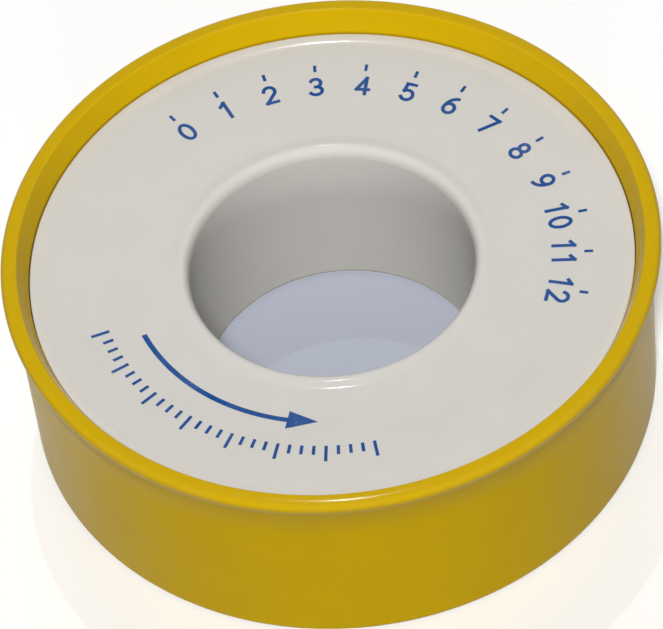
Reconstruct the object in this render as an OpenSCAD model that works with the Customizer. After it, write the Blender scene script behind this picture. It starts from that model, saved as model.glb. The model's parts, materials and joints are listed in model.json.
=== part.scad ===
// Thread seal tape roll: a flanged spool with a wound tape, pushed into a round case with a flared rim.
// Millimetres. The axis is Z, the case stands on z = 0, and the spool's face looks up.

/* [Tape] */
// Width of the tape
tape_width = 12; // [8:0.5:25]
// Length of tape on the full roll, in metres
tape_length_m = 12; // [6:0.5:20]
// Thickness of the tape
tape_thickness = 0.1; // [0.06:0.01:0.2]
// Angle that the last turn covers before its free end
last_turn_angle = 340; // [180:5:355]

/* [Spool] */
// Diameter of the bore through the hub
bore_d = 22.6; // [16:0.2:32]
// Wall of the hub's tube
hub_wall = 1.1; // [0.9:0.1:2]
// Step from the hub's outside in to the spigot at its foot
spigot_step = 0.45; // [0.3:0.05:0.6]
// Thickness of the disc under its flat face
disc_thickness = 1.45; // [0.8:0.05:2.5]
// Height of the bead round the bore's mouth over the disc's face
mouth_bead_height = 0.12; // [0.06:0.01:0.4]
// Width of the bead round the bore's mouth
mouth_bead_width = 1.6; // [1.5:0.1:2.4]
// How far the mouth bead's sloping flank reaches over the face
mouth_bead_flank = 0.75; // [0.4:0.05:0.85]
// How far the mouth's rounding reaches from the bore over the bead
mouth_round = 0.7; // [0.3:0.05:0.8]
// How far the mouth's rounding reaches down into the bore
mouth_depth = 1; // [0.5:0.05:1.5]
// Height of the bead at the disc's edge over the disc's face
edge_bead_height = 0.07; // [0.04:0.01:0.3]
// Width of the bead at the disc's edge
edge_bead_width = 1.1; // [0.9:0.05:1.5]
// How far the edge bead's sloping flank reaches over the face
edge_bead_flank = 0.5; // [0.3:0.05:0.7]
// Rounding of a bead's flank, at its top and at its foot
flank_round = 3; // [0.5:0.1:4]
// Rounding of the disc's edge
edge_round = 0.15; // [0.05:0.05:0.2]
// Fillet between the hub and the underside of the disc
hub_fillet = 0.3; // [0.1:0.05:0.5]
// Rounding of the hub's foot
foot_round = 0.2; // [0.1:0.05:0.25]

/* [Case] */
// Wall of the case, just under the flare
case_wall = 1.3; // [0.9:0.05:1.6]
// How much less the wall is at its foot
wall_draft = 0.25; // [0:0.05:0.4]
// Thickness of the case's floor
floor_thickness = 1.2; // [0.9:0.1:2]
// Depth of the hollow under the floor, between its two standing rings
floor_relief = 0.3; // [0.1:0.05:0.4]
// Width of the standing ring under the wall
outer_ring_width = 2.4; // [1.5:0.1:4]
// Width of the standing ring round the floor's hole
inner_ring_width = 1.6; // [1:0.1:3]
// Rounding of the bottom edge
base_round = 0.5; // [0.2:0.1:1]
// Fillet inside, between the floor and the wall
floor_fillet = 0.4; // [0.2:0.1:0.6]
// How far the rim stands out past the wall
rim_overhang = 0.75; // [0.5:0.05:1]
// How far the rim rises over the spool's mouth
rim_rise = 1.95; // [1.5:0.05:4]
// Width of the rim's top, from its crest to its outside
rim_width = 1.15; // [0.9:0.05:1.35]
// Radius of the rim's top, which falls from the crest to the outside
rim_crown = 5; // [2:0.1:8]
// Rounding of the rim's crest, where the lead-in starts
crest_round = 0.2; // [0.1:0.05:0.3]
// Rounding of the rim's outer edge
rim_round = 0.5; // [0.3:0.05:0.6]
// Radius of the hollow flare under the rim
flare_radius = 12; // [8:0.5:30]

/* [Fits] */
// Radial clearance of the disc's edge in the case
disc_clearance = 0.07; // [0.02:0.01:0.1]
// Radial clearance of the spigot in the floor's hole
spigot_clearance = 0.06; // [0.02:0.01:0.1]
// Radial clearance of the winding on the hub
winding_clearance = 0.05; // [0.02:0.01:0.1]
// Side clearance between the winding and the floor or the disc
side_clearance = 0.25; // [0.15:0.05:0.6]
// Radial space between the full winding and the case's wall
winding_space = 0.78; // [0.5:0.01:2]
// Radial clearance of the free end of the tape from the case's wall
free_end_clearance = 0.3; // [0.2:0.05:0.35]
// Clearance of the last turn from the winding where it leaves it
last_turn_clearance = 0.02; // [0.01:0.01:0.05]
// Clearance of the hub's foot over the surface that the case stands on
foot_clearance = 0.1; // [0.05:0.05:0.3]
// Straight wall over the disc's edge, below the lead-in
lead_in_land = 0.15; // [0.05:0.05:0.4]

/* [Hidden] */

case_yellow = "#d2ab08";
spool_white = "#dcd9d2";
tape_white = "#f2f2ee";

turn_segments = 128; // segments of a full turn in round shapes
arc_steps = 12; // chords in each rounded corner of an outline
spiral_step = 5; // degrees between points of the last turn
mm_per_m = 1000;
full_turn = 360;

// Radii, from the bore outwards
bore_r = bore_d / 2;
hub_r = bore_r + hub_wall;
spigot_r = hub_r - spigot_step;
floor_hole_r = spigot_r + spigot_clearance;
winding_inner_r = hub_r + winding_clearance;
tape_edge_area = tape_length_m * mm_per_m * tape_thickness;
winding_outer_r = sqrt(pow(winding_inner_r, 2) + tape_edge_area / PI);
case_inner_r = winding_outer_r + winding_space;
disc_r = case_inner_r - disc_clearance;
case_r = case_inner_r + case_wall;
rim_r = case_r + rim_overhang;

// Heights, from the standing surface upwards
winding_z = floor_thickness + side_clearance;
disc_bottom_z = winding_z + tape_width + side_clearance;
face_z = disc_bottom_z + disc_thickness;
mouth_z = face_z + mouth_bead_height;
edge_z = face_z + edge_bead_height;
lead_in_z = edge_z + lead_in_land;
rim_z = mouth_z + rim_rise;

// The rim is a chain of arcs that meet smoothly: flare, outer edge, crown and crest, then the lead-in
crest_centre = [rim_r - rim_width, rim_z - crest_round];
crown_centre = [crest_centre.x, rim_z - rim_crown];
edge_x = rim_width - rim_round;
edge_y = sqrt(pow(rim_crown - rim_round, 2) - pow(edge_x, 2));
edge_centre = crown_centre + [edge_x, edge_y];
edge_turn = atan2(edge_y, edge_x);
flare_x = case_r + flare_radius - edge_centre.x;
flare_y = sqrt(pow(flare_radius + rim_round, 2) - pow(flare_x, 2));
flare_centre = edge_centre + [flare_x, -flare_y];
flare_tilt = atan2(flare_y, flare_x);
lead_in_foot = [case_inner_r, lead_in_z];
lead_in_line = crest_centre - lead_in_foot;
lead_in_slope = atan2(lead_in_line.y, lead_in_line.x) + asin(crest_round / norm(lead_in_line));

function unit(v) = v / norm(v);

// Points on an arc round c, from one angle to another
function arc(c, r, from, to) = [
    for (i = [0:arc_steps])
        let (a = from + (to - from) * i / arc_steps)
        c + r * [cos(a), sin(a)]
];

// Points that round the corner p between its neighbours a and b, within half of each edge
function rounded(a, p, b, r) =
    let (u = unit(a - p), v = unit(b - p), half = acos(u * v) / 2)
    let (reach = min(r / tan(half), norm(a - p) / 2, norm(b - p) / 2))
    let (c = p + unit(u + v) * reach / cos(half))
    let (start = p + u * reach - c, end = p + v * reach - c)
    let (from = atan2(start.y, start.x), turn = atan2(end.y, end.x) - from)
    let (sweep = turn > 180 ? turn - full_turn : turn < -180 ? turn + full_turn : turn)
    arc(c, norm(start), from, from + sweep);

// An outline from corners [r, z, rounding], where a rounding of 0 stays sharp
function outline(corners) = [
    for (i = [0:len(corners) - 1])
        let (n = len(corners), q = corners[i], a = corners[(i + n - 1) % n], b = corners[(i + 1) % n])
        let (p = [q[0], q[1]])
        each q[2] > 0 ? rounded([a[0], a[1]], p, [b[0], b[1]], q[2]) : [p]
];

// Turns an outline in the radius and height plane about the axis
module lathe(points) {
    rotate_extrude($fn = turn_segments) polygon(points);
}

// Case: floor with a hole and two standing rings, wall, flared rim with a smooth lead-in
module case() {
    below_rim = outline([
        [case_inner_r, floor_thickness, floor_fillet],
        [floor_hole_r, floor_thickness, 0],
        [floor_hole_r, 0, 0],
        [floor_hole_r + inner_ring_width, 0, 0],
        [floor_hole_r + inner_ring_width, floor_relief, 0],
        [case_r - outer_ring_width, floor_relief, 0],
        [case_r - outer_ring_width, 0, 0],
        [case_r - wall_draft, 0, base_round],
        [case_r, flare_centre.y, 0],
        [case_inner_r, flare_centre.y, 0],
    ]);
    rim = concat(
        [[case_inner_r, flare_centre.y]],
        arc(flare_centre, flare_radius, 180, 180 - flare_tilt),
        arc(edge_centre, rim_round, -flare_tilt, edge_turn),
        arc(crown_centre, rim_crown, edge_turn, 90),
        arc(crest_centre, crest_round, 90, 90 + lead_in_slope),
        [lead_in_foot]
    );
    color(case_yellow) union() {
        lathe(below_rim);
        lathe(rim);
    }
}

// Spool: disc with a bead at its edge and round the bore, hub, and a spigot whose shoulder sits on the floor
module spool() {
    mouth = [
        for (i = [0:arc_steps])
            let (a = 90 * i / arc_steps)
            [bore_r + mouth_round * (1 - sin(a)), mouth_z - mouth_depth * (1 - cos(a)), 0]
    ];
    color(spool_white) lathe(outline([
        [bore_r, foot_clearance, foot_round],
        [spigot_r, foot_clearance, foot_round],
        [spigot_r, floor_thickness, 0],
        [hub_r, floor_thickness, 0],
        [hub_r, disc_bottom_z, hub_fillet],
        [disc_r, disc_bottom_z, edge_round],
        [disc_r, edge_z, edge_round],
        [disc_r - edge_bead_width + edge_bead_flank, edge_z, flank_round],
        [disc_r - edge_bead_width, face_z, flank_round],
        [bore_r + mouth_bead_width, face_z, flank_round],
        [bore_r + mouth_bead_width - mouth_bead_flank, mouth_z, flank_round],
        each mouth,
    ]));
}

// Wound tape: the inner turns, pressed together on the hub
module tape_roll() {
    color(tape_white) translate([0, 0, winding_z]) difference() {
        cylinder(h = tape_width, r = winding_outer_r, $fn = turn_segments);
        translate([0, 0, -tape_width]) cylinder(h = 3 * tape_width, r = winding_inner_r, $fn = turn_segments);
    }
}

// Last turn of the tape: a spiral over the winding, with a free end that stands off it
module tape_last_turn() {
    start_r = winding_outer_r + last_turn_clearance;
    end_r = case_inner_r - free_end_clearance - tape_thickness;
    steps = ceil(last_turn_angle / spiral_step);
    angles = [for (i = [0:steps]) last_turn_angle * i / steps];
    function spiral(offset) = [
        for (a = angles)
            (start_r + (end_r - start_r) * a / last_turn_angle + offset) * [cos(a), sin(a)]
    ];
    inside = spiral(0);
    outside = spiral(tape_thickness);
    color(tape_white) translate([0, 0, winding_z]) linear_extrude(height = tape_width)
        polygon(concat(outside, [for (i = [steps:-1:0]) inside[i]]));
}

case();
spool();
tape_roll();
tape_last_turn();
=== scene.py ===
"""Thread seal tape roll: a white spool with wound tape, pushed into a yellow case with a flared rim.

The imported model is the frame. The mouldings are turned from rounded outlines of the frame's own sizes,
the tape is wound turn by turn, and the face carries a plain printed scale.
"""

import json
import math
import typing

import bmesh
import bpy
from mathutils import Matrix, Vector


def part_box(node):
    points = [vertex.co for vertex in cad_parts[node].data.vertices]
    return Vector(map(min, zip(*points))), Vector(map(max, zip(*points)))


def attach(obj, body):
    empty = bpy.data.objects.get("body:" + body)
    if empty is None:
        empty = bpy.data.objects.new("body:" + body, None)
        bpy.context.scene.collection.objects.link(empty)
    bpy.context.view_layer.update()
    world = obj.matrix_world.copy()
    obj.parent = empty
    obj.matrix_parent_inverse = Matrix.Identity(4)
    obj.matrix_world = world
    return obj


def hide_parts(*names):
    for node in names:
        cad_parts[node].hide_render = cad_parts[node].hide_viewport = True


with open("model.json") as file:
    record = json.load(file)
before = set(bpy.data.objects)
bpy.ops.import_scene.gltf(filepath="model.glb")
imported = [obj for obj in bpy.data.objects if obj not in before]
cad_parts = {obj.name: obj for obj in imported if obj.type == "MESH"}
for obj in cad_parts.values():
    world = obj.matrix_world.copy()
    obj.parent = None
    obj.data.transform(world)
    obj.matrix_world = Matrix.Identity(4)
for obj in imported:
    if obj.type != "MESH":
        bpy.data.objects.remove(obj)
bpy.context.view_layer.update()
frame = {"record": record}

bl_info = {
    "name": "Thread seal tape roll",
    "version": (1, 0, 0),
    "blender": (4, 5, 0),
    "location": "3D View > Sidebar > Tape Roll",
    "description": "Makes a cased roll of thread seal tape and a plain stage for it",
    "category": "Object",
}

MM = 0.001

# What the frame says: radii and heights, in metres
CASE_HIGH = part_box("case")[1]
SPOOL_LOW, SPOOL_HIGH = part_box("spool")
ROLL_LOW, ROLL_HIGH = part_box("tape_roll")
MOUNTS = {mount["name"]: mount for mount in frame["record"]["mounts"]}
BORE_R = MOUNTS["hub_bore"]["dims"]["r_mm"] * MM
RIM_R = CASE_HIGH.x
RIM_Z = CASE_HIGH.z
DISC_R = SPOOL_HIGH.x
MOUTH_Z = SPOOL_HIGH.z
FOOT_Z = SPOOL_LOW.z
WINDING_R = ROLL_HIGH.x
WINDING_Z = ROLL_LOW.z
TAPE_WIDTH = ROLL_HIGH.z - ROLL_LOW.z

# Fineness of the meshes
TURN_SEGMENTS = 320
ARC_STEPS = 12
ARC_DEGREES = 5
BOW_STEPS = 28
MOUTH_STEPS = 18
ARROW_STEPS = 48
PAD_STEPS = 32

# Points that keep a straight flat: their distance from its ends, the straights that are too short
# for them, and the turns that need none
SUPPORT = 0.03 * MM
SHORT_STRAIGHT = 4 * SUPPORT
SLIGHT_TURN = math.radians(2)

# Half a turn, in degrees
HALF_TURN = 180

# How strongly a turn of the outline counts as an edge that handling rubs
BEND_GAIN = 4

# Shares of a digit's height: its box's width, and the step to the next digit
DIGIT_WIDTH = 0.6
DIGIT_ADVANCE = 0.76

# Share of a stroke's width within which the stroke's ends meet in a ring
RING_GAP = 0.1

# Kinds of sockets, and the sockets of a Mix node that hold colours
FLOAT = "NodeSocketFloat"
GEOMETRY = "NodeSocketGeometry"
MATERIAL = "NodeSocketMaterial"
SOCKET_KINDS = {float: FLOAT, int: "NodeSocketInt"}
MIX_A = 6
MIX_B = 7
MIX_RESULT = 2

# The range that most of a noise texture's values lie in, and its middle
NOISE_SPAN = (0.3, 0.7)
NOISE_MIDDLE = 0.5

# What both plastics share: how they bend light, how much of it they let in and how far, and how
# deep the polish reaches below their tops
PLASTIC_IOR = 1.49
PLASTIC_GLOW = 0.2
PLASTIC_BLEED = 1.2 * MM
POLISHED_DEPTH = 0.8 * MM

# Full white
WHITE = (1.0, 1.0, 1.0)

# The camera's sensor in millimetres, and the nearest that it sees in metres
SENSOR_WIDTH = 36.0
NEAREST = 0.01


def length(name, description, millimetres):
    """A size property with its default in millimetres."""
    return bpy.props.FloatProperty(
        name=name,
        description=description,
        default=millimetres * MM,
        min=0.0,
        precision=5,
        subtype="DISTANCE",
        unit="LENGTH",
    )


def angle(name, description, degrees):
    """An angle property with its default in degrees."""
    return bpy.props.FloatProperty(
        name=name,
        description=description,
        default=math.radians(degrees),
        subtype="ANGLE",
        unit="ROTATION",
    )


def whole(name, description, number, least):
    """A whole number property."""
    return bpy.props.IntProperty(name=name, description=description, default=number, min=least)


def plain(name, description, number):
    """A property that is a number without a unit."""
    return bpy.props.FloatProperty(name=name, description=description, default=number, min=0.0)


def watts(name, description, power):
    """A lamp's power property."""
    return bpy.props.FloatProperty(
        name=name,
        description=description,
        default=power,
        min=0.0,
        unit="POWER",
    )


def colour(name, description, red, green, blue):
    """A colour property with a linear default."""
    return bpy.props.FloatVectorProperty(
        name=name,
        description=description,
        default=(red, green, blue),
        min=0.0,
        max=1.0,
        size=3,
        subtype="COLOR",
    )


class CaseSizes(bpy.types.PropertyGroup):
    """Sizes of the yellow case that the frame's boxes don't give."""

    disc_clearance: length("Disc clearance", "Radial clearance of the disc's edge in the case", 0.07)
    side_clearance: length("Side clearance", "Space from the winding to the floor and to the disc", 0.25)
    spigot_clearance: length("Spigot clearance", "Radial clearance of the spigot in its hole", 0.06)
    relief: length("Floor relief", "Depth of the hollow between the standing rings", 0.3)
    outer_ring: length("Outer ring", "Width of the standing ring under the wall", 2.4)
    inner_ring: length("Inner ring", "Width of the standing ring round the hole", 1.6)
    base_round: length("Base rounding", "Rounding of the bottom edge", 0.5)
    floor_fillet: length("Floor fillet", "Fillet between the floor and the wall", 0.4)
    wall_draft: length("Wall draft", "How much less the wall's radius is at its foot", 0.25)
    overhang: length("Rim overhang", "How far the rim stands out past the wall", 0.75)
    rim_width: length("Rim width", "Width of the rim's top, from its crest to its outside", 1.15)
    rim_crown: length("Rim crown", "Radius of the rim's top, which falls to the outside", 5)
    crest_round: length("Crest rounding", "Rounding of the crest, where the lead-in starts", 0.2)
    rim_round: length("Rim rounding", "Rounding of the rim's outer edge", 0.5)
    flare: length("Flare radius", "Radius of the hollow flare under the rim", 12)
    lead_in_land: length("Lead-in land", "Straight wall over the disc's edge", 0.15)
    edge_break: length("Edge break", "Rounding of edges that the mould leaves nearly sharp", 0.06)
    pads: whole("Ejector pads", "How many round marks the ejector pins leave", 4, 1)
    pad_first: angle("First ejector pad", "Angle of the first of these marks", 45)
    pad_radius: length("Ejector pad radius", "Radius of these marks", 1.3)
    pad_height: length("Ejector pad height", "How far these marks stand up from the floor", 0.05)


class SpoolSizes(bpy.types.PropertyGroup):
    """Sizes of the white spool that the frame's boxes don't give."""

    hub_wall: length("Hub wall", "Wall of the hub's tube", 1.1)
    spigot_step: length("Spigot step", "Step from the hub's outside to the spigot", 0.45)
    mouth_height: length("Mouth height", "Height of the mouth's bead over the face", 0.12)
    mouth_bead: length("Mouth bead", "Width of the bead round the bore", 1.6)
    mouth_flank: length("Mouth flank", "How far the mouth bead's flank reaches over the face", 0.75)
    mouth_round: length("Mouth rounding", "Reach of the mouth's rounding over the bead", 0.7)
    mouth_depth: length("Mouth depth", "Reach of the mouth's rounding into the bore", 1.0)
    edge_height: length("Edge height", "Height of the edge's bead over the face", 0.07)
    edge_bead: length("Edge bead", "Width of the bead at the disc's edge", 1.1)
    edge_flank: length("Edge flank", "How far the edge bead's flank reaches over the face", 0.5)
    flank_round: length("Flank rounding", "Rounding of a bead's flank at its top and foot", 3)
    edge_round: length("Edge rounding", "Rounding of the disc's edge", 0.15)
    hub_fillet: length("Hub fillet", "Fillet between the hub and the disc", 0.3)
    foot_round: length("Foot rounding", "Rounding of the hub's foot", 0.2)
    edge_break: length("Edge break", "Rounding of edges that the mould leaves nearly sharp", 0.06)


class PrintSizes(bpy.types.PropertyGroup):
    """Places and sizes of the plain scale printed on the face."""

    ink_film: length("Ink film", "How far the ink stands over the face", 0.012)
    ink_root: length("Ink root", "How far the ink's mesh reaches into the face", 0.004)
    ink_step: length("Ink step", "How far a stroke stands over the stroke that it crosses", 0.002)
    number_radius: length("Number radius", "Radius at the foot of the numbers", 17.35)
    number_height: length("Number height", "Height of the numbers", 1.9)
    number_weight: length("Number weight", "Width of the numbers' strokes", 0.3)
    first_number: angle("First number", "Angle of the number 0", 124)
    last_number: angle("Last number", "Angle of the last number", -18)
    numbers: whole("Numbers", "The last number on the scale", 12, 1)
    tick_radius: length("Tick radius", "Radius at the middle of the upper scale's ticks", 20.25)
    tick_length: length("Tick length", "Length of the upper scale's ticks", 0.7)
    tick_width: length("Tick width", "Width of a tick's stroke", 0.26)
    ruler_radius: length("Ruler radius", "Radius at the middle of the lower scale's ticks", 19.2)
    ruler_length: length("Ruler length", "Length of the lower scale's long ticks", 1.5)
    ruler_short: length("Ruler short", "Length of the lower scale's short ticks", 0.85)
    ruler_first: angle("Ruler start", "Angle of the lower scale's first tick", -166)
    ruler_last: angle("Ruler end", "Angle of the lower scale's last tick", -85)
    ruler_steps: whole("Ruler steps", "Steps of the lower scale", 28, 4)
    ruler_group: whole("Ruler group", "Steps from long to long tick", 4, 1)
    arrow_radius: length("Arrow radius", "Radius of the turning arrow's line", 16.1)
    arrow_width: length("Arrow width", "Width of the turning arrow's line", 0.42)
    arrow_head: length("Arrow head", "Length of the turning arrow's head", 2.4)
    arrow_wing: length("Arrow wing", "How far the arrow's head reaches to each side", 0.864)
    arrow_first: angle("Arrow start", "Angle where the arrow starts", -161)
    arrow_last: angle("Arrow end", "Angle of the arrow's tip", -99)


class TapeSizes(bpy.types.PropertyGroup):
    """Sizes of the wound tape that the frame's boxes don't give."""

    thickness: length("Thickness", "Thickness of the tape", 0.1)
    pressed: plain("Pressed share", "Share of its thickness that a wound turn keeps", 0.9)
    hub_clearance: length("Hub clearance", "Radial clearance of the first turn on the hub", 0.05)
    turn_clearance: length("Turn clearance", "Space between the winding and the last turn's start", 0.02)
    wall_clearance: length("Wall clearance", "Radial clearance of the free end from the case", 0.3)
    last_turn: angle("Last turn", "Angle that the last turn covers", 340)
    wander: length("Side wander", "How far the turns wander to the sides", 0.09)
    segments: whole("Segments", "Segments in one turn", 72, 12)
    seed: whole("Seed", "Seed of the wander", 7, 0)


class RollColours(bpy.types.PropertyGroup):
    """Colours of the plastics, the tape, the ink and the floor, in linear light, with the grey painted
    shade under the bore.
    """

    case_yellow: colour("Case yellow", "Yellow of the case", 0.575, 0.372, 0.001)
    spool_white: colour("Spool white", "Warm white of the spool", 0.63, 0.612, 0.577)
    ink_blue: colour("Ink blue", "Blue of the print", 0.003, 0.06, 0.24)
    tape_white: colour("Tape white", "White of the tape", 0.84, 0.84, 0.82)
    floor_white: colour("Floor white", "White that the camera sees of the floor", 0.98, 0.98, 0.98)
    # Painted shade: a grey painted on the floor under the bore, where the bore's shade falls
    bore_grey: colour("Bore grey", "Grey of the floor seen through the bore", 0.43, 0.46, 0.54)
    floor_bounce: colour("Floor bounce", "Light that the floor gives back", 0.16, 0.158, 0.155)


class StageSizes(bpy.types.PropertyGroup):
    """Places of the camera, the lamps and the floor."""

    elevation: angle("Elevation", "Height of the camera over the horizon", 50.65)
    roll: angle("Roll", "Turn of the camera about its own axis", -6.87)
    distance: length("Distance", "Distance from the camera to its target", 468)
    target: bpy.props.FloatVectorProperty(
        name="Target",
        description="Point that the camera looks at",
        default=(-0.5 * MM, 0.57 * MM, 7.8 * MM),
        size=3,
        subtype="TRANSLATION",
        unit="LENGTH",
    )
    lens: plain("Lens", "Focal length on a 36 mm sensor", 318.8)
    dome: plain("Dome light", "Strength of the light from all round", 0.08)
    key_power: watts("Key power", "Power of the small lamp behind", 3.4)
    key_size: length("Key size", "Side of the small lamp behind", 28)
    key_height: angle("Key height", "Height of the small lamp over the horizon", 64)
    key_bearing: angle("Key bearing", "Turn of the small lamp from the back of the roll", 1.2)
    key_distance: length("Key distance", "Distance of the small lamp from the roll", 2000)
    front_power: watts("Front power", "Power of the soft lamp in front", 70)
    front_size: length("Front size", "Side of the soft lamp in front", 350)
    front_height: angle("Front height", "Height of the soft lamp over the horizon", 56)
    front_bearing: angle("Front bearing", "Turn of the lamps in front from the back of the roll", 176)
    low_power: watts("Low power", "Power of the low lamp in front", 18)
    low_size: length("Low size", "Side of the low lamp in front", 600)
    low_height: angle("Low height", "Height of the low lamp over the horizon", 8)
    back_power: watts("Back power", "Power of the wide lamp behind", 26)
    back_size: length("Back size", "Side of the wide lamp behind", 2000)
    back_height: angle("Back height", "Height of the wide lamp over the horizon", 20)
    fill_distance: length("Fill distance", "Distance of the other lamps from the roll", 2800)
    floor_size: length("Floor size", "Side of the square floor", 3000)
    floor_drop: length("Floor drop", "How far the floor lies under the standing rings", 0.02)


PROPERTY_GROUPS = {
    "roll_case": CaseSizes,
    "roll_spool": SpoolSizes,
    "roll_print": PrintSizes,
    "roll_tape": TapeSizes,
    "roll_colours": RollColours,
    "roll_stage": StageSizes,
}


class MarkRow(typing.NamedTuple):
    """A row of like marks round the axis: angles in radians, the radius in metres."""

    marks: int
    first: float
    step: float
    radius: float


class Finish(typing.NamedTuple):
    """How a moulded plastic takes the light. It is satin below satin_top, and polished above it."""

    roughness: float
    specular: float
    scuff: float
    bump: float
    satin_top: float


# Outlines in the plane of radius and height

def spread(start, end, steps):
    """Even steps from one value to another, with both ends."""
    return [start + (end - start) * i / steps for i in range(steps + 1)]


def oval(centre, half_width, half_height, start, end, steps):
    """Points on an oval about a middle, from one angle to another, in degrees."""
    x, y = centre
    turns = [math.radians(turn) for turn in spread(start, end, steps)]
    return [(x + half_width * math.cos(a), y + half_height * math.sin(a)) for a in turns]


def arc(centre, radius, start, end):
    """Points on a round arc, from one angle to another, in degrees."""
    steps = max(ARC_STEPS, math.ceil(abs(end - start) / ARC_DEGREES))
    return oval(centre, radius, radius, start, end, steps)


def sharp(points):
    """Points as corners of an outline that stay sharp."""
    return [(r, z, 0.0) for r, z in points]


def rounded(before, corner, after, radius):
    """Points that round a corner, within half of each edge that meets there."""
    p = Vector(corner)
    to_before = Vector(before) - p
    to_after = Vector(after) - p
    u = to_before.normalized()
    v = to_after.normalized()
    half = math.acos(max(-1.0, min(1.0, u.dot(v)))) / 2
    reach = min(radius / math.tan(half), to_before.length / 2, to_after.length / 2)
    centre = p + (u + v).normalized() * reach / math.cos(half)
    start = p + u * reach - centre
    end = p + v * reach - centre
    first = math.degrees(math.atan2(start.y, start.x))
    turned = math.degrees(math.atan2(end.y, end.x)) - first
    sweep = (turned + HALF_TURN) % (2 * HALF_TURN) - HALF_TURN
    return arc(centre, start.length, first, first + sweep)


def outline(corners):
    """A closed outline from corners (radius, height, rounding), where a rounding of 0 stays sharp."""
    points = []
    for i, (r, z, rounding) in enumerate(corners):
        before = corners[i - 1][:2]
        after = corners[(i + 1) % len(corners)][:2]
        points += rounded(before, (r, z), after, rounding) if rounding else [(r, z)]
    return points


def supported(points):
    """The outline with a point close to each end of a long straight that turns there, to keep it flat."""
    line = [Vector(point) for point in points]
    out = []
    for i, p in enumerate(line):
        q = line[(i + 1) % len(line)]
        step = q - p
        out.append(p)
        if step.length < SHORT_STRAIGHT:
            continue
        if step.angle(p - line[i - 1], 0.0) > SLIGHT_TURN:
            out.append(p + step.normalized() * SUPPORT)
        if step.angle(line[(i + 2) % len(line)] - q, 0.0) > SLIGHT_TURN:
            out.append(q - step.normalized() * SUPPORT)
    return out


def curvature(points):
    """How sharply the outline turns outwards at each point, from 0 on a flat to 1 on a small rounding."""
    bends = []
    for i, p in enumerate(points):
        after = points[(i + 1) % len(points)]
        turn = (p - points[i - 1]).angle_signed(after - p, 0.0)
        bends.append(max(0.0, min(1.0, -BEND_GAIN * turn)))
    return [(bends[i - 1] + bend + bends[(i + 1) % len(bends)]) / 3 for i, bend in enumerate(bends)]


# Meshes

def new_piece(name, mesh, material):
    """A mesh object at the origin with one material."""
    piece = bpy.data.objects.new(name, mesh)
    bpy.context.scene.collection.objects.link(piece)
    mesh.materials.clear()
    mesh.materials.append(material)
    return piece


def saved(name, work):
    """The mesh that a bmesh holds. The bmesh is freed."""
    mesh = bpy.data.meshes.new(name)
    work.to_mesh(mesh)
    work.free()
    return mesh


def lathe(name, points):
    """A closed mesh turned from an outline, with the outline's turns in the attribute edge."""
    profile = supported(points)
    bends = curvature(profile)
    work = bmesh.new()
    layer = work.verts.layers.float.new("edge")
    rings = []
    for a in spread(0.0, math.tau, TURN_SEGMENTS)[:-1]:
        ring = [work.verts.new((p.x * math.cos(a), p.x * math.sin(a), p.y)) for p in profile]
        for vert, bend in zip(ring, bends):
            vert[layer] = bend
        rings.append(ring)
    for i, ring in enumerate(rings):
        after = rings[(i + 1) % len(rings)]
        for j in range(len(ring)):
            k = (j + 1) % len(ring)
            work.faces.new((ring[j], after[j], after[k], ring[k]))
    bmesh.ops.recalc_face_normals(work, faces=work.faces)
    mesh = saved(name, work)
    mesh.shade_smooth()
    return mesh


def raised(name, work, height):
    """The closed plate that flat faces in a bmesh make when they are pulled up."""
    lifted = bmesh.ops.extrude_face_region(work, geom=work.faces[:])["geom"]
    top = [item for item in lifted if isinstance(item, bmesh.types.BMVert)]
    bmesh.ops.translate(work, verts=top, vec=(0.0, 0.0, height))
    bmesh.ops.recalc_face_normals(work, faces=work.faces)
    return saved(name, work)


def flat(points, height):
    """A bmesh with one face at a height, from a list of points in the plane."""
    work = bmesh.new()
    work.faces.new([work.verts.new((x, y, height)) for x, y in points])
    return work


def prism(name, points, low, high):
    """A closed flat plate between two heights from a list of points in the plane."""
    return raised(name, flat(points, low), high - low)


def joined(name, meshes):
    """One mesh from several."""
    work = bmesh.new()
    for mesh in meshes:
        work.from_mesh(mesh)
        bpy.data.meshes.remove(mesh)
    return saved(name, work)


def oblong(half_width, half_height):
    """The corners of an oblong about the origin."""
    x, y = half_width, half_height
    return [(-x, -y), (x, -y), (x, y), (-x, y)]


def polar(radius, turn):
    """A point in the plane from its radius and angle."""
    return (radius * math.cos(turn), radius * math.sin(turn))


def ribbon(name, points, width, low, high):
    """A closed flat strip of even width along a line of points, or a ring if the line closes."""
    line = [Vector(point) for point in points]
    is_ring = (line[0] - line[-1]).length < width * RING_GAP
    if is_ring:
        line.pop()
    last = len(line) - 1
    work = bmesh.new()
    pairs = []
    for i, p in enumerate(line):
        before = line[i - 1] if is_ring or i > 0 else p * 2 - line[1]
        after = line[(i + 1) % len(line)] if is_ring or i < last else p * 2 - line[-2]
        along = (after - before).normalized()
        if not is_ring and i in (0, last):
            p = p + along * (width / 2 if i else -width / 2)
        side = Vector((-along.y, along.x)) * (width / 2)
        pairs.append([work.verts.new((*(p + side), low)), work.verts.new((*(p - side), low))])
    for i in range(len(line) if is_ring else last):
        (a, b), (c, d) = pairs[i], pairs[(i + 1) % len(line)]
        work.faces.new((a, b, d, c))
    return raised(name, work, high - low)


# Digits drawn with a pen, in a box 0.6 wide and 1 high

def bow(x, y, half_width, half_height, start, end):
    """A pen's oval bow about a middle, from one angle to another, in degrees."""
    return oval((x, y), half_width, half_height, start, end, BOW_STEPS)


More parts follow.
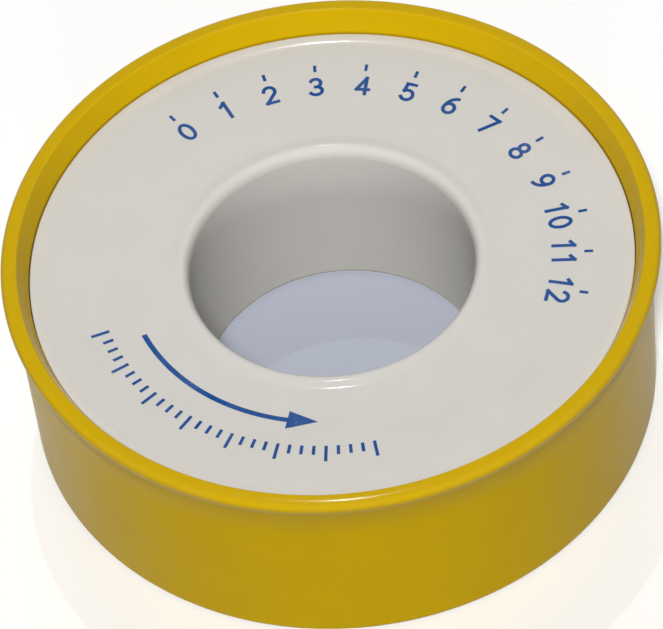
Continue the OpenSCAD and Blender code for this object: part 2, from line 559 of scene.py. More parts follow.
def pen_strokes(digit):
    """The strokes of a digit, each a list of points."""
    strokes = {
        "0": [bow(0.3, 0.5, 0.25, 0.44, 90, 450)],
        "1": [[(0.14, 0.78), (0.34, 0.94)], [(0.34, 0.94), (0.34, 0.06)]],
        "2": [bow(0.3, 0.69, 0.24, 0.25, 165, -40) + [(0.08, 0.06)], [(0.08, 0.06), (0.54, 0.06)]],
        "3": [bow(0.28, 0.72, 0.22, 0.22, 150, -90), bow(0.28, 0.28, 0.26, 0.22, 90, -150)],
        "4": [[(0.42, 0.06), (0.42, 0.94)], [(0.42, 0.94), (0.05, 0.3)], [(0.05, 0.3), (0.56, 0.3)]],
        "5": [
            [(0.5, 0.94), (0.14, 0.94)],
            [(0.14, 0.94), (0.11, 0.54)],
            bow(0.28, 0.33, 0.26, 0.27, 130, -150),
        ],
        "6": [bow(0.52, 0.32, 0.46, 0.62, 100, 180), bow(0.3, 0.32, 0.24, 0.26, 180, 540)],
        "7": [[(0.06, 0.94), (0.54, 0.94)], [(0.54, 0.94), (0.2, 0.06)]],
        "8": [bow(0.3, 0.73, 0.2, 0.21, -90, 270), bow(0.3, 0.29, 0.25, 0.23, 90, 450)],
        "9": [bow(0.08, 0.68, 0.46, 0.62, -80, 0), bow(0.3, 0.68, 0.24, 0.26, 0, 360)],
    }
    return strokes[digit]


# Node trees. A term is a socket, which is linked, or a value, which is set

def feed(tree, slots, terms):
    """Feeds sockets, by name or number, with their terms. A colour is given by three numbers."""
    for key, term in terms.items():
        slot = slots[key]
        if isinstance(term, bpy.types.NodeSocket):
            tree.links.new(term, slot)
        elif slot.type == "RGBA":
            slot.default_value = (*term, 1.0)
        else:
            slot.default_value = term


def add(tree, kind, terms=None, **settings):
    """A new node with its settings, and its inputs fed."""
    node = tree.nodes.new(kind)
    for key, value in settings.items():
        setattr(node, key, value)
    feed(tree, node.inputs, terms or {})
    return node


def new_group(name, kind, inputs, outputs):
    """A node group's tree, its entry's sockets and its exit's. An input has a default or a kind."""
    tree = bpy.data.node_groups.new(name, kind)
    for label, given in inputs.items():
        socket_kind = SOCKET_KINDS.get(type(given), given)
        socket = tree.interface.new_socket(label, in_out="INPUT", socket_type=socket_kind)
        if socket_kind != given:
            socket.default_value = given
    for label, socket_kind in outputs.items():
        tree.interface.new_socket(label, in_out="OUTPUT", socket_type=socket_kind)
    return tree, add(tree, "NodeGroupInput").outputs, add(tree, "NodeGroupOutput").inputs


def shared(store, name, maker, *values):
    """What Blender's store has under that name, made once."""
    return store.get(name) or maker(*values)


def calc(tree, operation, *terms):
    """A Math node in a shader or geometry tree."""
    return add(tree, "ShaderNodeMath", dict(enumerate(terms)), operation=operation).outputs[0]


def remapped(tree, value, low, high, out_low=0.0, out_high=1.0):
    """A value taken from one range to another, and kept inside it."""
    terms = {"Value": value, "From Min": low, "From Max": high, "To Min": out_low, "To Max": out_high}
    return add(tree, "ShaderNodeMapRange", terms, clamp=True).outputs["Result"]


def combined(tree, **parts):
    """A vector from its X, Y and Z, where a part that isn't given is 0."""
    return add(tree, "ShaderNodeCombineXYZ", parts).outputs["Vector"]


def on_circle(tree, radius, turn, height=0.0):
    """A place from its radius and angle about the axis, and its height."""
    x = calc(tree, "MULTIPLY", radius, calc(tree, "COSINE", turn))
    y = calc(tree, "MULTIPLY", radius, calc(tree, "SINE", turn))
    return combined(tree, X=x, Y=y, Z=height)


def object_place(tree):
    """The place of a surface point in its object."""
    return add(tree, "ShaderNodeTexCoord").outputs["Object"]


def object_height(tree):
    """The height of a surface point over the standing rings."""
    return add(tree, "ShaderNodeSeparateXYZ", {"Vector": object_place(tree)}).outputs["Z"]


def stretched(tree, place, scale, rotation=(0.0, 0.0, 0.0)):
    """A place that is turned and scaled, to draw a pattern out."""
    terms = {"Vector": place, "Rotation": rotation, "Scale": scale}
    return add(tree, "ShaderNodeMapping", terms).outputs["Vector"]


def noise(tree, place, scale, detail=2.0, roughness=0.5):
    """A Noise texture's value."""
    terms = {"Vector": place, "Scale": scale, "Detail": detail, "Roughness": roughness}
    return add(tree, "ShaderNodeTexNoise", terms).outputs["Fac"]


def blended(tree, factor, a, b):
    """A colour between two colours."""
    terms = {"Factor": factor, MIX_A: a, MIX_B: b}
    return add(tree, "ShaderNodeMix", terms, data_type="RGBA").outputs[MIX_RESULT]


def bumped(tree, height, strength, distance):
    """A normal that follows a height."""
    terms = {"Height": height, "Strength": strength, "Distance": distance}
    return add(tree, "ShaderNodeBump", terms).outputs["Normal"]


def seen(tree):
    """Mask: 1 for the camera, for a reflection and for a look through glass."""
    path = add(tree, "ShaderNodeLightPath").outputs
    looked_at = calc(tree, "MAXIMUM", path["Is Camera Ray"], path["Is Glossy Ray"])
    return calc(tree, "MAXIMUM", looked_at, path["Is Transmission Ray"])


# Shared effects of the materials

def moulded_skin():
    """Group: the fine grain and slow swell that a mould leaves on plastic."""
    inputs = {"Grain Scale": 5200.0, "Swell Scale": 260.0}
    outputs = {"Height": FLOAT, "Gloss Shift": FLOAT, "Tone": FLOAT}
    tree, enter, leave = new_group("Moulded Skin", "ShaderNodeTree", inputs, outputs)
    grain_height = 0.25
    grain_gloss = 0.03
    place = object_place(tree)
    grain = noise(tree, place, enter["Grain Scale"], detail=3.0, roughness=0.6)
    swell = noise(tree, place, enter["Swell Scale"])
    feed(tree, leave, {
        "Height": calc(tree, "MULTIPLY_ADD", grain, grain_height, swell),
        "Gloss Shift": remapped(tree, grain, *NOISE_SPAN, -grain_gloss, grain_gloss),
        "Tone": remapped(tree, swell, *NOISE_SPAN),
    })
    return tree


def handling_scuffs():
    """Group: sparse hairline scratches and dull rubs from handling."""
    inputs = {"Scratch Scale": 900.0, "Amount": 0.5}
    outputs = {"Scratch": FLOAT, "Rub": FLOAT}
    tree, enter, leave = new_group("Handling Scuffs", "ShaderNodeTree", inputs, outputs)
    hair_turns = (0.5, 1.7, 2.6)
    hair_tilt = (0.4, 0.2)
    hair_stretch = (1.0, 0.06, 1.0)
    hair_span = (0.7, 0.73)
    rub_scale = 170.0
    rub_span = (0.5, 0.66)
    place = object_place(tree)
    hairs = []
    for turn in hair_turns:
        drawn = stretched(tree, place, hair_stretch, (*hair_tilt, turn))
        hairs.append(remapped(tree, noise(tree, drawn, enter["Scratch Scale"], detail=1.0), *hair_span))
    crossed = calc(tree, "MAXIMUM", calc(tree, "MAXIMUM", hairs[0], hairs[1]), hairs[2])
    patch = remapped(tree, noise(tree, place, rub_scale, detail=3.0), *rub_span)
    scratch = calc(tree, "MULTIPLY", crossed, patch)
    feed(tree, leave, {
        "Scratch": calc(tree, "MULTIPLY", scratch, enter["Amount"]),
        "Rub": calc(tree, "MULTIPLY", patch, enter["Amount"]),
    })
    return tree


def effect(tree, name, maker, terms=None):
    """The sockets of a shared effect that is placed in a material with its own values."""
    group = shared(bpy.data.node_groups, name, maker)
    return add(tree, "ShaderNodeGroup", terms, node_tree=group).outputs


# Materials

def nodes_of(material):
    """A material's tree, and the sockets of its Principled shader."""
    tree = material.node_tree
    return tree, tree.nodes["Principled BSDF"].inputs


def new_material(name):
    """A new node material, its tree and its shader's sockets."""
    material = bpy.data.materials.new(name)
    material.use_nodes = True
    return material, *nodes_of(material)


def darker(tint, share):
    """A colour times a share."""
    return tuple(part * share for part in tint)


def lighter(tint, share):
    """A colour part of the way to white."""
    return tuple(part + (1.0 - part) * share for part in tint)


def moulded_plastic(name, base, shade, worn, finish):
    """Moulded plastic: toned colour, paler rubbed edges, grain and scuffs, and satin below a height."""
    material, tree, shader = new_material(name)
    skin = effect(tree, "Moulded Skin", moulded_skin)
    scuffs = effect(tree, "Handling Scuffs", handling_scuffs, {"Amount": finish.scuff})
    edge = add(tree, "ShaderNodeAttribute", attribute_name="edge").outputs["Fac"]

    # Colour: rubs come and go along an edge, and scratches are pale
    edge_tones = (0.2, 0.8)
    edge_rub = (0.1, 0.5)
    scratch_pale = 0.4
    toned = blended(tree, skin["Tone"], base, shade)
    rubbed = calc(tree, "MULTIPLY", edge, remapped(tree, skin["Tone"], *edge_tones, *edge_rub))
    pale = calc(tree, "MAXIMUM", rubbed, calc(tree, "MULTIPLY", scuffs["Scratch"], scratch_pale))

    # Gloss: rubs and scratches dull it, and so does the satin
    rub_dull = 0.06
    scratch_dull = 0.15
    satin_dull = 0.32
    satin_fade = 0.5 * MM
    gloss = calc(tree, "ADD", skin["Gloss Shift"], finish.roughness)
    dulled = calc(tree, "MULTIPLY_ADD", scuffs["Rub"], rub_dull, gloss)
    scored = calc(tree, "MULTIPLY_ADD", scuffs["Scratch"], scratch_dull, dulled)
    top = finish.satin_top
    satin = remapped(tree, object_height(tree), top - satin_fade, top, satin_dull, 0.0)

    # Relief: scratches cut into the grain
    scratch_depth = -0.3
    relief_height = 0.02 * MM
    relief = calc(tree, "MULTIPLY_ADD", scuffs["Scratch"], scratch_depth, skin["Height"])
    feed(tree, shader, {
        "Base Color": blended(tree, pale, toned, worn),
        "Roughness": calc(tree, "ADD", scored, satin),
        "Normal": bumped(tree, relief, finish.bump, relief_height),
        "Specular IOR Level": finish.specular,
        "IOR": PLASTIC_IOR,
        "Subsurface Weight": PLASTIC_GLOW,
        "Subsurface Radius": base,
        "Subsurface Scale": PLASTIC_BLEED,
    })
    return material


def case_plastic(colours):
    """Yellow case: smooth plastic, with a dull veil on the wall where it is seen at a low angle."""
    base = tuple(colours.case_yellow)
    finish = Finish(roughness=0.1, specular=0.06, scuff=0.35, bump=0.2, satin_top=RIM_Z - POLISHED_DEPTH)
    material = moulded_plastic("case_yellow", base, darker(base, 0.97), lighter(base, 0.03), finish)
    tree, shader = nodes_of(material)
    low_angles = (0.48, 0.78)
    veil_weight = 0.27
    veil_top = RIM_Z - 2.5 * MM
    veil_fade = 1.5 * MM
    facing = add(tree, "ShaderNodeLayerWeight").outputs["Facing"]
    veil = remapped(tree, facing, *low_angles, 0.0, veil_weight)
    below = remapped(tree, object_height(tree), veil_top - veil_fade, veil_top, 1.0, 0.0)
    feed(tree, shader, {"Coat Weight": calc(tree, "MULTIPLY", veil, below), "Coat Roughness": 0.3})
    return material


def spool_plastic(colours):
    """White spool: smooth, slightly warm plastic."""
    base = tuple(colours.spool_white)
    finish = Finish(roughness=0.09, specular=0.1, scuff=0.3, bump=0.15, satin_top=MOUTH_Z - POLISHED_DEPTH)
    return moulded_plastic("spool_white", base, darker(base, 0.98), lighter(base, 0.2), finish)


def print_ink(colours):
    """Blue ink: solid, with a few specks where the plastic shows through."""
    material, tree, shader = new_material("print_ink")
    speck_scale = 7500.0
    cloud_scale = 420.0
    cloud_share = 0.5
    bare_span = (1.0, 1.08)
    bare_most = 0.6
    thin_span = (0.35, 0.7)
    dull = (0.45, 0.6)
    blue = tuple(colours.ink_blue)
    place = object_place(tree)
    speck = noise(tree, place, speck_scale, roughness=0.6)
    cloud = noise(tree, place, cloud_scale)
    cover = calc(tree, "MULTIPLY_ADD", cloud, cloud_share, speck)
    bare = remapped(tree, cover, *bare_span, 0.0, bare_most)
    ink = blended(tree, remapped(tree, cloud, *thin_span), blue, lighter(blue, 0.03))
    feed(tree, shader, {
        "Base Color": blended(tree, bare, ink, tuple(colours.spool_white)),
        "Roughness": remapped(tree, speck, *NOISE_SPAN, *dull),
        "Specular IOR Level": 0.15,
    })
    return material


def tape_film(colours):
    """Thread seal tape: soft white film with streaks along its length and faint cross creases."""
    material, tree, shader = new_material("tape_film")
    streak_stretch = (0.6, 60.0, 1.0)
    streak_scale = 3.0
    streak_span = (0.35, 0.65)
    crease_stretch = (160.0, 2.0, 1.0)
    crease_share = 0.6
    dull = (0.5, 0.7)
    base = tuple(colours.tape_white)
    wound = add(tree, "ShaderNodeUVMap", uv_map="wound").outputs["UV"]
    along = stretched(tree, wound, streak_stretch)
    across = stretched(tree, wound, crease_stretch)
    streak = noise(tree, along, streak_scale, detail=4.0, roughness=0.6)
    crease = noise(tree, across, scale=1.0, detail=3.0)
    relief = calc(tree, "MULTIPLY_ADD", crease, crease_share, streak)
    feed(tree, shader, {
        "Base Color": blended(tree, remapped(tree, streak, *streak_span), darker(base, 0.94), base),
        "Roughness": remapped(tree, streak, *NOISE_SPAN, *dull),
        "Normal": bumped(tree, relief, strength=0.35, distance=0.03 * MM),
        "Subsurface Weight": 0.1,
        "Subsurface Radius": WHITE,
        "Subsurface Scale": 0.4 * MM,
    })
    return material


def floor_paper(colours):
    """White paper, with grey painted shade under the bore. It gives back less light than the camera and
    the gloss see.
    """
    material, tree, shader = new_material("floor_paper")
    fade = 0.5 * MM
    reach = add(tree, "ShaderNodeVectorMath", {"Vector": object_place(tree)}, operation="LENGTH")
    outside = remapped(tree, reach.outputs["Value"], BORE_R, BORE_R + fade)
    # Painted shade: inside the bore's radius the floor takes a grey colour in place of the bore's shade
    paper = blended(tree, outside, tuple(colours.bore_grey), tuple(colours.floor_white))
    feed(tree, shader, {
        "Base Color": blended(tree, seen(tree), tuple(colours.floor_bounce), paper),
        "Roughness": 1.0,
        "Specular IOR Level": 0.0,
    })
    return material


# Geometry Nodes trees

def applied(name, mesh, tree, values):
    """The plain mesh that a tree makes from a mesh. values gives its inputs by name."""
    holder = bpy.data.objects.new(name, mesh)
    bpy.context.scene.collection.objects.link(holder)
    modifier = holder.modifiers.new(tree.name, "NODES")
    modifier.node_group = tree
    for item in tree.interface.items_tree:
        if item.item_type == "SOCKET" and item.in_out == "INPUT" and item.name in values:
            modifier[item.identifier] = values[item.name]
    graph = bpy.context.evaluated_depsgraph_get()
    made = bpy.data.meshes.new_from_object(holder.evaluated_get(graph))
    made.name = name
    holder.modifiers.clear()
    bpy.data.objects.remove(holder)
    bpy.data.meshes.remove(mesh)
    return made


def stored(tree, geometry, name, value, kind="FLOAT", domain="POINT"):
    """Geometry that carries a value as a named attribute."""
    terms = {"Geometry": geometry, "Name": name, "Value": value}
    node = add(tree, "GeometryNodeStoreNamedAttribute", terms, data_type=kind, domain=domain)
    return node.outputs["Geometry"]


def recalled(tree, name):
    """The value of a named attribute."""
    node = add(tree, "GeometryNodeInputNamedAttribute", {"Name": name}, data_type="FLOAT")
    return node.outputs["Attribute"]


def moved(tree, geometry, place):
    """Geometry whose points are put in their place."""
    node = add(tree, "GeometryNodeSetPosition", {"Geometry": geometry, "Position": place})
    return node.outputs["Geometry"]


def finished(tree, geometry, material, leave):
    """Ends a tree with real geometry and its material."""
    real = add(tree, "GeometryNodeRealizeInstances", {"Geometry": geometry}).outputs["Geometry"]
    coated = add(tree, "GeometryNodeSetMaterial", {"Geometry": real, "Material": material})
    feed(tree, leave, {"Geometry": coated.outputs["Geometry"]})
    return tree


def ring_of_marks():
    """Tree: copies of a mark at even steps round the axis, each turned to point outwards."""
    inputs = {
        "Mark": GEOMETRY,
        "Count": 4,
        "First Angle": 0.0,
        "Step Angle": 0.1,
        "Radius": 0.01,
        "Material": MATERIAL,
    }
    tree, enter, leave = new_group("Ring Of Marks", "GeometryNodeTree", inputs, {"Geometry": GEOMETRY})
    row = add(tree, "GeometryNodeMeshLine", {"Count": enter["Count"]}).outputs["Mesh"]
    index = add(tree, "GeometryNodeInputIndex").outputs["Index"]
    turn = calc(tree, "MULTIPLY_ADD", index, enter["Step Angle"], enter["First Angle"])
    copies = add(tree, "GeometryNodeInstanceOnPoints", {
        "Points": moved(tree, row, on_circle(tree, enter["Radius"], turn)),
        "Instance": enter["Mark"],
        "Rotation": combined(tree, Z=turn),
    })
    return finished(tree, copies.outputs["Instances"], enter["Material"], leave)


def marked(name, mark, row, material):
    """A mark's copies along a row, as one mesh."""
    values = {
        "Count": row.marks,
        "First Angle": row.first,
        "Step Angle": row.step,
        "Radius": row.radius,
        "Material": material,
    }
    return applied(name, mark, shared(bpy.data.node_groups, "Ring Of Marks", ring_of_marks), values)


def wound_tape():
    """Tree: one strip of tape wound turn on turn, and a last turn that climbs to its free end."""
    inputs = {
        "Geometry": GEOMETRY,
        "Segments": 72,
        "Turns": 100,
        "Last Turn": 0.9,
        "First Radius": 0.0125,
        "Full Radius": 0.023,
        "Last Radius": 0.0232,
        "Free Radius": 0.0235,
        "Middle": 0.0075,
        "Width": 0.012,
        "Thickness": 0.0001,
        "Wander": 0.0001,
        "Seed": 7.0,
        "Material": MATERIAL,
    }
    tree, enter, leave = new_group("Wound Tape", "GeometryNodeTree", inputs, {"Geometry": GEOMETRY})

    # How far round each point of the route is, in turns, and its radius there
    index = add(tree, "GeometryNodeInputIndex").outputs["Index"]
    turn = calc(tree, "DIVIDE", index, enter["Segments"])
    build = calc(tree, "SUBTRACT", enter["Full Radius"], enter["First Radius"])
    pitch = calc(tree, "DIVIDE", build, enter["Turns"])
    pressed = calc(tree, "MULTIPLY_ADD", turn, pitch, enter["First Radius"])
    over = calc(tree, "DIVIDE", calc(tree, "SUBTRACT", turn, enter["Turns"]), enter["Last Turn"])
    climb = calc(tree, "SUBTRACT", enter["Free Radius"], enter["Last Radius"])
    loose = calc(tree, "MULTIPLY_ADD", over, climb, enter["Last Radius"])
    is_loose = calc(tree, "GREATER_THAN", over, 0.0)
    radius = calc(tree, "MULTIPLY_ADD", is_loose, calc(tree, "SUBTRACT", loose, pressed), pressed)

    # The turns wander a little to the sides
    wander_terms = {"W": calc(tree, "ADD", turn, enter["Seed"]), "Scale": 0.45, "Detail": 3.0}
    drift = add(tree, "ShaderNodeTexNoise", wander_terms, noise_dimensions="1D").outputs["Fac"]
    aside = calc(tree, "MULTIPLY", calc(tree, "SUBTRACT", drift, NOISE_MIDDLE), enter["Wander"])
    height = calc(tree, "ADD", enter["Middle"], aside)

    # The route: a line of points, each moved to its place on the spiral
    turns = calc(tree, "ADD", enter["Turns"], enter["Last Turn"])
    points = calc(tree, "MULTIPLY_ADD", turns, enter["Segments"], 1.0)
    line = add(tree, "GeometryNodeCurvePrimitiveLine").outputs["Curve"]
    row = add(tree, "GeometryNodeResampleCurve", {"Curve": line, "Count": points}, mode="COUNT")
    place = on_circle(tree, radius, calc(tree, "MULTIPLY", turn, math.tau), height)
    spiral = moved(tree, row.outputs["Curve"], place)
    upright = add(tree, "GeometryNodeSetCurveNormal", {"Curve": spiral}, mode="Z_UP").outputs["Curve"]

    # The strip's section, swept along the route
    sizes = {"Width": enter["Thickness"], "Height": enter["Width"]}
    section = add(tree, "GeometryNodeCurvePrimitiveQuadrilateral", sizes).outputs["Curve"]
    finer = add(tree, "GeometryNodeSubdivideCurve", {"Curve": section, "Cuts": 1}).outputs["Curve"]
    spot = add(tree, "GeometryNodeInputPosition").outputs["Position"]
    side = add(tree, "ShaderNodeSeparateXYZ", {"Vector": spot}).outputs["Y"]
    share = calc(tree, "DIVIDE", side, enter["Width"])
    strip = add(tree, "GeometryNodeCurveToMesh", {
        "Curve": stored(tree, upright, "along", turn),
        "Profile Curve": stored(tree, finer, "across", share),
        "Fill Caps": True,
    })

    # A map of the strip, along and across
    pair = combined(tree, X=recalled(tree, "along"), Y=recalled(tree, "across"))
    mapped = stored(tree, strip.outputs["Mesh"], "wound", pair, kind="FLOAT2", domain="CORNER")
    return finished(tree, mapped, enter["Material"], leave)


# Operators, one for each piece or group of like pieces

class TAPEROLL_OT_case(bpy.types.Operator):
    """Make the yellow case with its floor, wall and flared rim"""

    bl_idname = "taperoll.case"
    bl_label = "Make the case"

    def execute(self, context):
        scene = context.scene
        material = shared(bpy.data.materials, "case_yellow", case_plastic, scene.roll_colours)
        shell = new_piece("case_shell", lathe("case_shell", self.profile(scene)), material)
        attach(shell, "case")
        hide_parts("case")
        return {"FINISHED"}

    def profile(self, scene):
        """The case's outline: down the inside, under the floor, up the wall and over the rim."""
        s = scene.roll_case
        spool = scene.roll_spool
        inner_r = DISC_R + s.disc_clearance
        wall_r = RIM_R - s.overhang
        hole_r = BORE_R + spool.hub_wall - spool.spigot_step + s.spigot_clearance
        floor_z = WINDING_Z - s.side_clearance
        foot_z = MOUTH_Z - spool.mouth_height + spool.edge_height + s.lead_in_land

        # Middles of the rim's arcs: the crest, the crown, the outer edge and the flare
        crest = Vector((RIM_R - s.rim_width, RIM_Z - s.crest_round))
        crown = Vector((crest.x, RIM_Z - s.rim_crown))
        outwards = s.rim_width - s.rim_round
        upwards = math.sqrt((s.rim_crown - s.rim_round) ** 2 - outwards ** 2)
        edge = crown + Vector((outwards, upwards))
        across = wall_r + s.flare - edge.x
        down = math.sqrt((s.flare + s.rim_round) ** 2 - across ** 2)
        flare = edge + Vector((across, -down))

        # Angles at which each arc runs into the next
        edge_turn = math.degrees(math.atan2(upwards, outwards))
        tilt = math.degrees(math.atan2(down, across))
        line = crest - Vector((inner_r, foot_z))
        slope = math.degrees(math.atan2(line.y, line.x) + math.asin(s.crest_round / line.length))
        return outline([
            (inner_r, foot_z, 2 * s.edge_break),
            (inner_r, floor_z, s.floor_fillet),
            (hole_r, floor_z, s.edge_break),
            (hole_r, 0.0, s.edge_break),
            (hole_r + s.inner_ring, 0.0, s.edge_break),
            (hole_r + s.inner_ring, s.relief, s.edge_break),
            (wall_r - s.outer_ring, s.relief, s.edge_break),
            (wall_r - s.outer_ring, 0.0, s.edge_break),
            (wall_r - s.wall_draft, 0.0, s.base_round),
            *sharp(arc(flare, s.flare, 180, 180 - tilt)),
            *sharp(arc(edge, s.rim_round, -tilt, edge_turn)[1:]),
            *sharp(arc(crown, s.rim_crown, edge_turn, 90)[1:]),
            *sharp(arc(crest, s.crest_round, 90, 90 + slope)[1:]),
        ])


class TAPEROLL_OT_ejector_pads(bpy.types.Operator):
    """Make the round marks that ejector pins leave on the case's floor"""

    bl_idname = "taperoll.ejector_pads"
    bl_label = "Mark the case's floor"

    def execute(self, context):
        s = context.scene.roll_case
        material = shared(bpy.data.materials, "case_yellow", case_plastic, context.scene.roll_colours)
        floor_z = WINDING_Z - s.side_clearance
        disc = oval((0.0, 0.0), s.pad_radius, s.pad_radius, 0, 2 * HALF_TURN, PAD_STEPS)[:-1]
        pad = prism("ejector_pad", disc, floor_z - s.pad_height, floor_z + s.pad_height)
        row = MarkRow(s.pads, s.pad_first, math.tau / s.pads, (WINDING_R + BORE_R) / 2)
        pads = new_piece("case_ejector_pads", marked("case_ejector_pads", pad, row, material), material)
        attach(pads, "case")
        return {"FINISHED"}


class TAPEROLL_OT_spool(bpy.types.Operator):
    """Make the white spool with its beads, bore and spigot"""

    bl_idname = "taperoll.spool"
    bl_label = "Make the spool"

    def execute(self, context):
        scene = context.scene
        profile = self.profile(scene.roll_spool, scene.roll_case.side_clearance)
        body = new_piece("spool_body", lathe("spool_body", profile), spool_plastic(scene.roll_colours))
        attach(body, "spool")
        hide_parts("spool")
        return {"FINISHED"}

    def profile(self, s, side_clearance):
        """The spool's outline, from the bore's foot round the spigot, hub and disc to the mouth."""
        hub_r = BORE_R + s.hub_wall
        spigot_r = hub_r - s.spigot_step
        face_z = MOUTH_Z - s.mouth_height
        edge_z = face_z + s.edge_height
        shoulder_z = WINDING_Z - side_clearance
        under_z = WINDING_Z + TAPE_WIDTH + side_clearance
        mouth = (BORE_R + s.mouth_round, MOUTH_Z - s.mouth_depth)
        return outline([
            (BORE_R, FOOT_Z, s.foot_round),
            (spigot_r, FOOT_Z, s.foot_round),
            (spigot_r, shoulder_z, s.edge_break),
            (hub_r, shoulder_z, s.edge_break),
            (hub_r, under_z, s.hub_fillet),
            (DISC_R, under_z, s.edge_round),
            (DISC_R, edge_z, s.edge_round),
            (DISC_R - s.edge_bead + s.edge_flank, edge_z, s.flank_round),
            (DISC_R - s.edge_bead, face_z, s.flank_round),
            (BORE_R + s.mouth_bead, face_z, s.flank_round),
            (BORE_R + s.mouth_bead - s.mouth_flank, MOUTH_Z, s.flank_round),
            *sharp(oval(mouth, s.mouth_round, s.mouth_depth, 90, 180, MOUTH_STEPS)),
        ])


class TAPEROLL_OT_print(bpy.types.Operator):
    """Print the plain scale, its numbers and a turning arrow on the spool's face"""

    bl_idname = "taperoll.print"
    bl_label = "Print the face"

    def execute(self, context):
        s = context.scene.roll_print
        ink = print_ink(context.scene.roll_colours)
        face_z = MOUTH_Z - context.scene.roll_spool.mouth_height
        self.low = face_z - s.ink_root
        self.high = face_z + s.ink_film
        places = enumerate(spread(s.first_number, s.last_number, s.numbers))
        numbers = [self.number(s, str(number), turn) for number, turn in places]

        # The upper scale has a tick at each number, the lower one long and short ticks
        number_step = (s.last_number - s.first_number) / s.numbers
        ruler_step = (s.ruler_last - s.ruler_first) / s.ruler_steps
        long_step = ruler_step * s.ruler_group
        groups = s.ruler_steps // s.ruler_group
        upper = MarkRow(s.numbers + 1, s.first_number, number_step, s.tick_radius)
        long_row = MarkRow(groups + 1, s.ruler_first, long_step, s.ruler_radius)
        short_radius = s.ruler_radius - (s.ruler_length - s.ruler_short) / 2
        starts = [s.ruler_first + ruler_step * i for i in range(1, s.ruler_group)]
        short_rows = [MarkRow(groups, start, long_step, short_radius) for start in starts]
        short_ticks = [self.ticks(s, ink, s.ruler_short, row) for row in short_rows]
        meshes = {
            "print_numbers": joined("print_numbers", numbers),
            "print_ticks": self.ticks(s, ink, s.tick_length, upper),
            "print_ruler_short": joined("print_ruler_short", short_ticks),
            "print_ruler_long": self.ticks(s, ink, s.ruler_length, long_row),
            "print_arrow": self.arrow(s),
        }
        for name, mesh in meshes.items():
            piece = new_piece(name, mesh, ink)
            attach(piece, "spool")
        return {"FINISHED"}

    def number(self, s, text, turn):
        """A number's strokes as flat plates, with its foot towards the bore, centred on an angle."""
        size = s.number_height
        start = -((len(text) - 1) * DIGIT_ADVANCE + DIGIT_WIDTH) / 2
        plates = []
        for i, digit in enumerate(text):
            left = start + i * DIGIT_ADVANCE
            for k, stroke in enumerate(pen_strokes(digit)):
                points = [((left + x) * size, y * size) for x, y in stroke]
                high = self.high + k * s.ink_step
                plates.append(ribbon("stroke", points, s.number_weight, self.low, high))
        mesh = joined("number", plates)
        upright = Matrix.Translation((0.0, s.number_radius, 0.0))
        mesh.transform(Matrix.Rotation(turn - math.pi / 2, 4, "Z") @ upright)
        return mesh

    def ticks(self, s, ink, reach, row):
        """A row of ticks, each a plate that points outwards."""
        tick = prism("tick", oblong(reach / 2, s.tick_width / 2), self.low, self.high)
        return marked("ticks", tick, row, ink)

    def arrow(self, s):
        """A curved line with a pointed head, which shows the way the roll turns."""
        neck = s.arrow_last - s.arrow_head / s.arrow_radius
        turns = spread(s.arrow_first, neck, ARROW_STEPS)
        half = s.arrow_width / 2
        outer = [polar(s.arrow_radius + half, a) for a in turns]
        inner = [polar(s.arrow_radius - half, a) for a in reversed(turns)]
        head = [
            polar(s.arrow_radius + s.arrow_wing, neck),
            polar(s.arrow_radius, s.arrow_last),
            polar(s.arrow_radius - s.arrow_wing, neck),
        ]
        return prism("print_arrow", outer + head + inner, self.low, self.high)


class TAPEROLL_OT_tape(bpy.types.Operator):
    """Wind the tape on the hub, up to the free end of its last turn"""

    bl_idname = "taperoll.tape"
    bl_label = "Wind the tape"

    def execute(self, context):
        s = context.scene.roll_tape
        film = tape_film(context.scene.roll_colours)
        inner_r = BORE_R + context.scene.roll_spool.hub_wall + s.hub_clearance
        wall_r = DISC_R + context.scene.roll_case.disc_clearance
        half = s.thickness / 2
        values = {
            "Segments": s.segments,
            "Turns": int((WINDING_R - inner_r) / s.thickness) - 1,
            "Last Turn": s.last_turn / math.tau,
            "First Radius": inner_r + half,
            "Full Radius": WINDING_R - half,
            "Last Radius": WINDING_R + s.turn_clearance + half,
            "Free Radius": wall_r - s.wall_clearance - half,
            "Middle": WINDING_Z + TAPE_WIDTH / 2,
            "Width": TAPE_WIDTH - s.wander,
            "Thickness": s.thickness * s.pressed,
            "Wander": s.wander,
            "Seed": float(s.seed),
            "Material": film,
        }
        mesh = applied("tape_wound", bpy.data.meshes.new("tape_wound"), wound_tape(), values)
        winding = new_piece("tape_wound", mesh, film)
        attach(winding, "tape")
        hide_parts("tape_roll", "tape_last_turn")
        return {"FINISHED"}


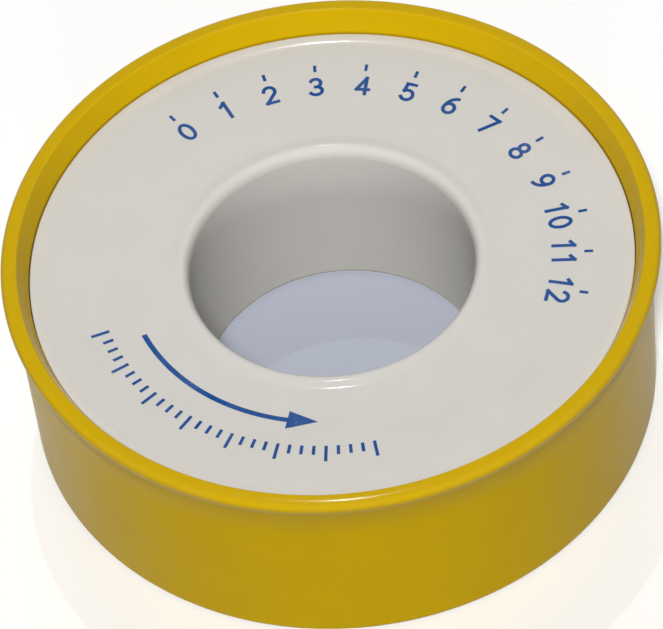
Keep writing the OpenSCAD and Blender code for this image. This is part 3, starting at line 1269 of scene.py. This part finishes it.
class TAPEROLL_OT_stage(bpy.types.Operator):
    """Set the plain floor, the soft lights and the camera"""

    bl_idname = "taperoll.stage"
    bl_label = "Set the stage"

    def execute(self, context):
        scene = context.scene
        s = scene.roll_stage
        self.floor(scene)
        self.dome(scene)
        high = self.place(s.key_bearing, s.key_height, s.key_distance)
        in_front = self.place(s.front_bearing, s.front_height, s.fill_distance)
        low = self.place(s.front_bearing, s.low_height, s.fill_distance)
        behind = self.place(0.0, s.back_height, s.fill_distance)
        self.lamp(scene, "key", s.key_power, s.key_size, high, glints=True)
        self.lamp(scene, "front", s.front_power, s.front_size, in_front)
        self.lamp(scene, "low", s.low_power, s.low_size, low)
        self.lamp(scene, "back", s.back_power, s.back_size, behind)
        self.camera(scene)
        scene.view_settings.view_transform = "Standard"
        return {"FINISHED"}

    def floor(self, scene):
        """The floor, just under the standing rings."""
        s = scene.roll_stage
        half = s.floor_size / 2
        mesh = saved("floor", flat(oblong(half, half), -s.floor_drop))
        new_piece("floor", mesh, floor_paper(scene.roll_colours))

    def dome(self, scene):
        """Even light from all round, white where it is seen."""
        world = bpy.data.worlds.new("dome")
        scene.world = world
        world.use_nodes = True
        tree = world.node_tree
        strength = remapped(tree, seen(tree), 0.0, 1.0, scene.roll_stage.dome, 1.0)
        feed(tree, tree.nodes["Background"].inputs, {"Color": WHITE, "Strength": strength})

    def place(self, bearing, height, distance):
        """A point at a bearing from +Y, counter-clockwise, and a height over the horizon."""
        level = Vector((-math.sin(bearing), math.cos(bearing), 0.0))
        return (level * math.cos(height) + Vector((0.0, 0.0, math.sin(height)))) * distance

    def lamp(self, scene, name, power, size, place, glints=False):
        """A square soft lamp that looks at the roll. Only a lamp that glints shows in the gloss."""
        light = bpy.data.lights.new(name, "AREA")
        light.energy = power
        light.size = size
        lamp = bpy.data.objects.new(name, light)
        lamp.location = place
        lamp.visible_camera = False
        lamp.visible_glossy = glints
        lamp.rotation_euler = (-place).to_track_quat("-Z", "Y").to_euler()
        scene.collection.objects.link(lamp)

    def camera(self, scene):
        """The camera at the photograph's angle, with its roll."""
        s = scene.roll_stage
        right = Vector((1.0, 0.0, 0.0))
        up = Vector((0.0, math.sin(s.elevation), math.cos(s.elevation)))
        back = Vector((0.0, -math.cos(s.elevation), math.sin(s.elevation)))
        across = right * math.cos(s.roll) + up * math.sin(s.roll)
        above = up * math.cos(s.roll) - right * math.sin(s.roll)
        data = bpy.data.cameras.new("camera")
        data.lens = s.lens
        data.sensor_width = SENSOR_WIDTH
        data.clip_start = NEAREST
        camera = bpy.data.objects.new("camera", data)
        turned = Matrix((across, above, back)).transposed().to_4x4()
        camera.matrix_world = Matrix.Translation(Vector(s.target) + back * s.distance) @ turned
        scene.collection.objects.link(camera)
        scene.camera = camera


OPERATORS = (
    TAPEROLL_OT_case,
    TAPEROLL_OT_ejector_pads,
    TAPEROLL_OT_spool,
    TAPEROLL_OT_print,
    TAPEROLL_OT_tape,
    TAPEROLL_OT_stage,
)


class TAPEROLL_PT_panel(bpy.types.Panel):
    """The steps that make the roll, in order"""

    bl_idname = "TAPEROLL_PT_panel"
    bl_label = "Tape Roll"
    bl_space_type = "VIEW_3D"
    bl_region_type = "UI"
    bl_category = "Tape Roll"

    def draw(self, context):
        for step in OPERATORS:
            self.layout.operator(step.bl_idname)


def register():
    """Registers the classes and hangs the properties on the scene."""
    for name, group in PROPERTY_GROUPS.items():
        bpy.utils.register_class(group)
        setattr(bpy.types.Scene, name, bpy.props.PointerProperty(type=group))
    for step in (*OPERATORS, TAPEROLL_PT_panel):
        bpy.utils.register_class(step)


def unregister():
    """Takes the classes and the properties away again."""
    for step in (TAPEROLL_PT_panel, *reversed(OPERATORS)):
        bpy.utils.unregister_class(step)
    for name, group in PROPERTY_GROUPS.items():
        delattr(bpy.types.Scene, name)
        bpy.utils.unregister_class(group)


def main():
    """Makes the roll and its stage."""
    register()
    bpy.ops.taperoll.case()
    bpy.ops.taperoll.ejector_pads()
    bpy.ops.taperoll.spool()
    bpy.ops.taperoll.print()
    bpy.ops.taperoll.tape()
    bpy.ops.taperoll.stage()


if __name__ == "__main__":
    main()
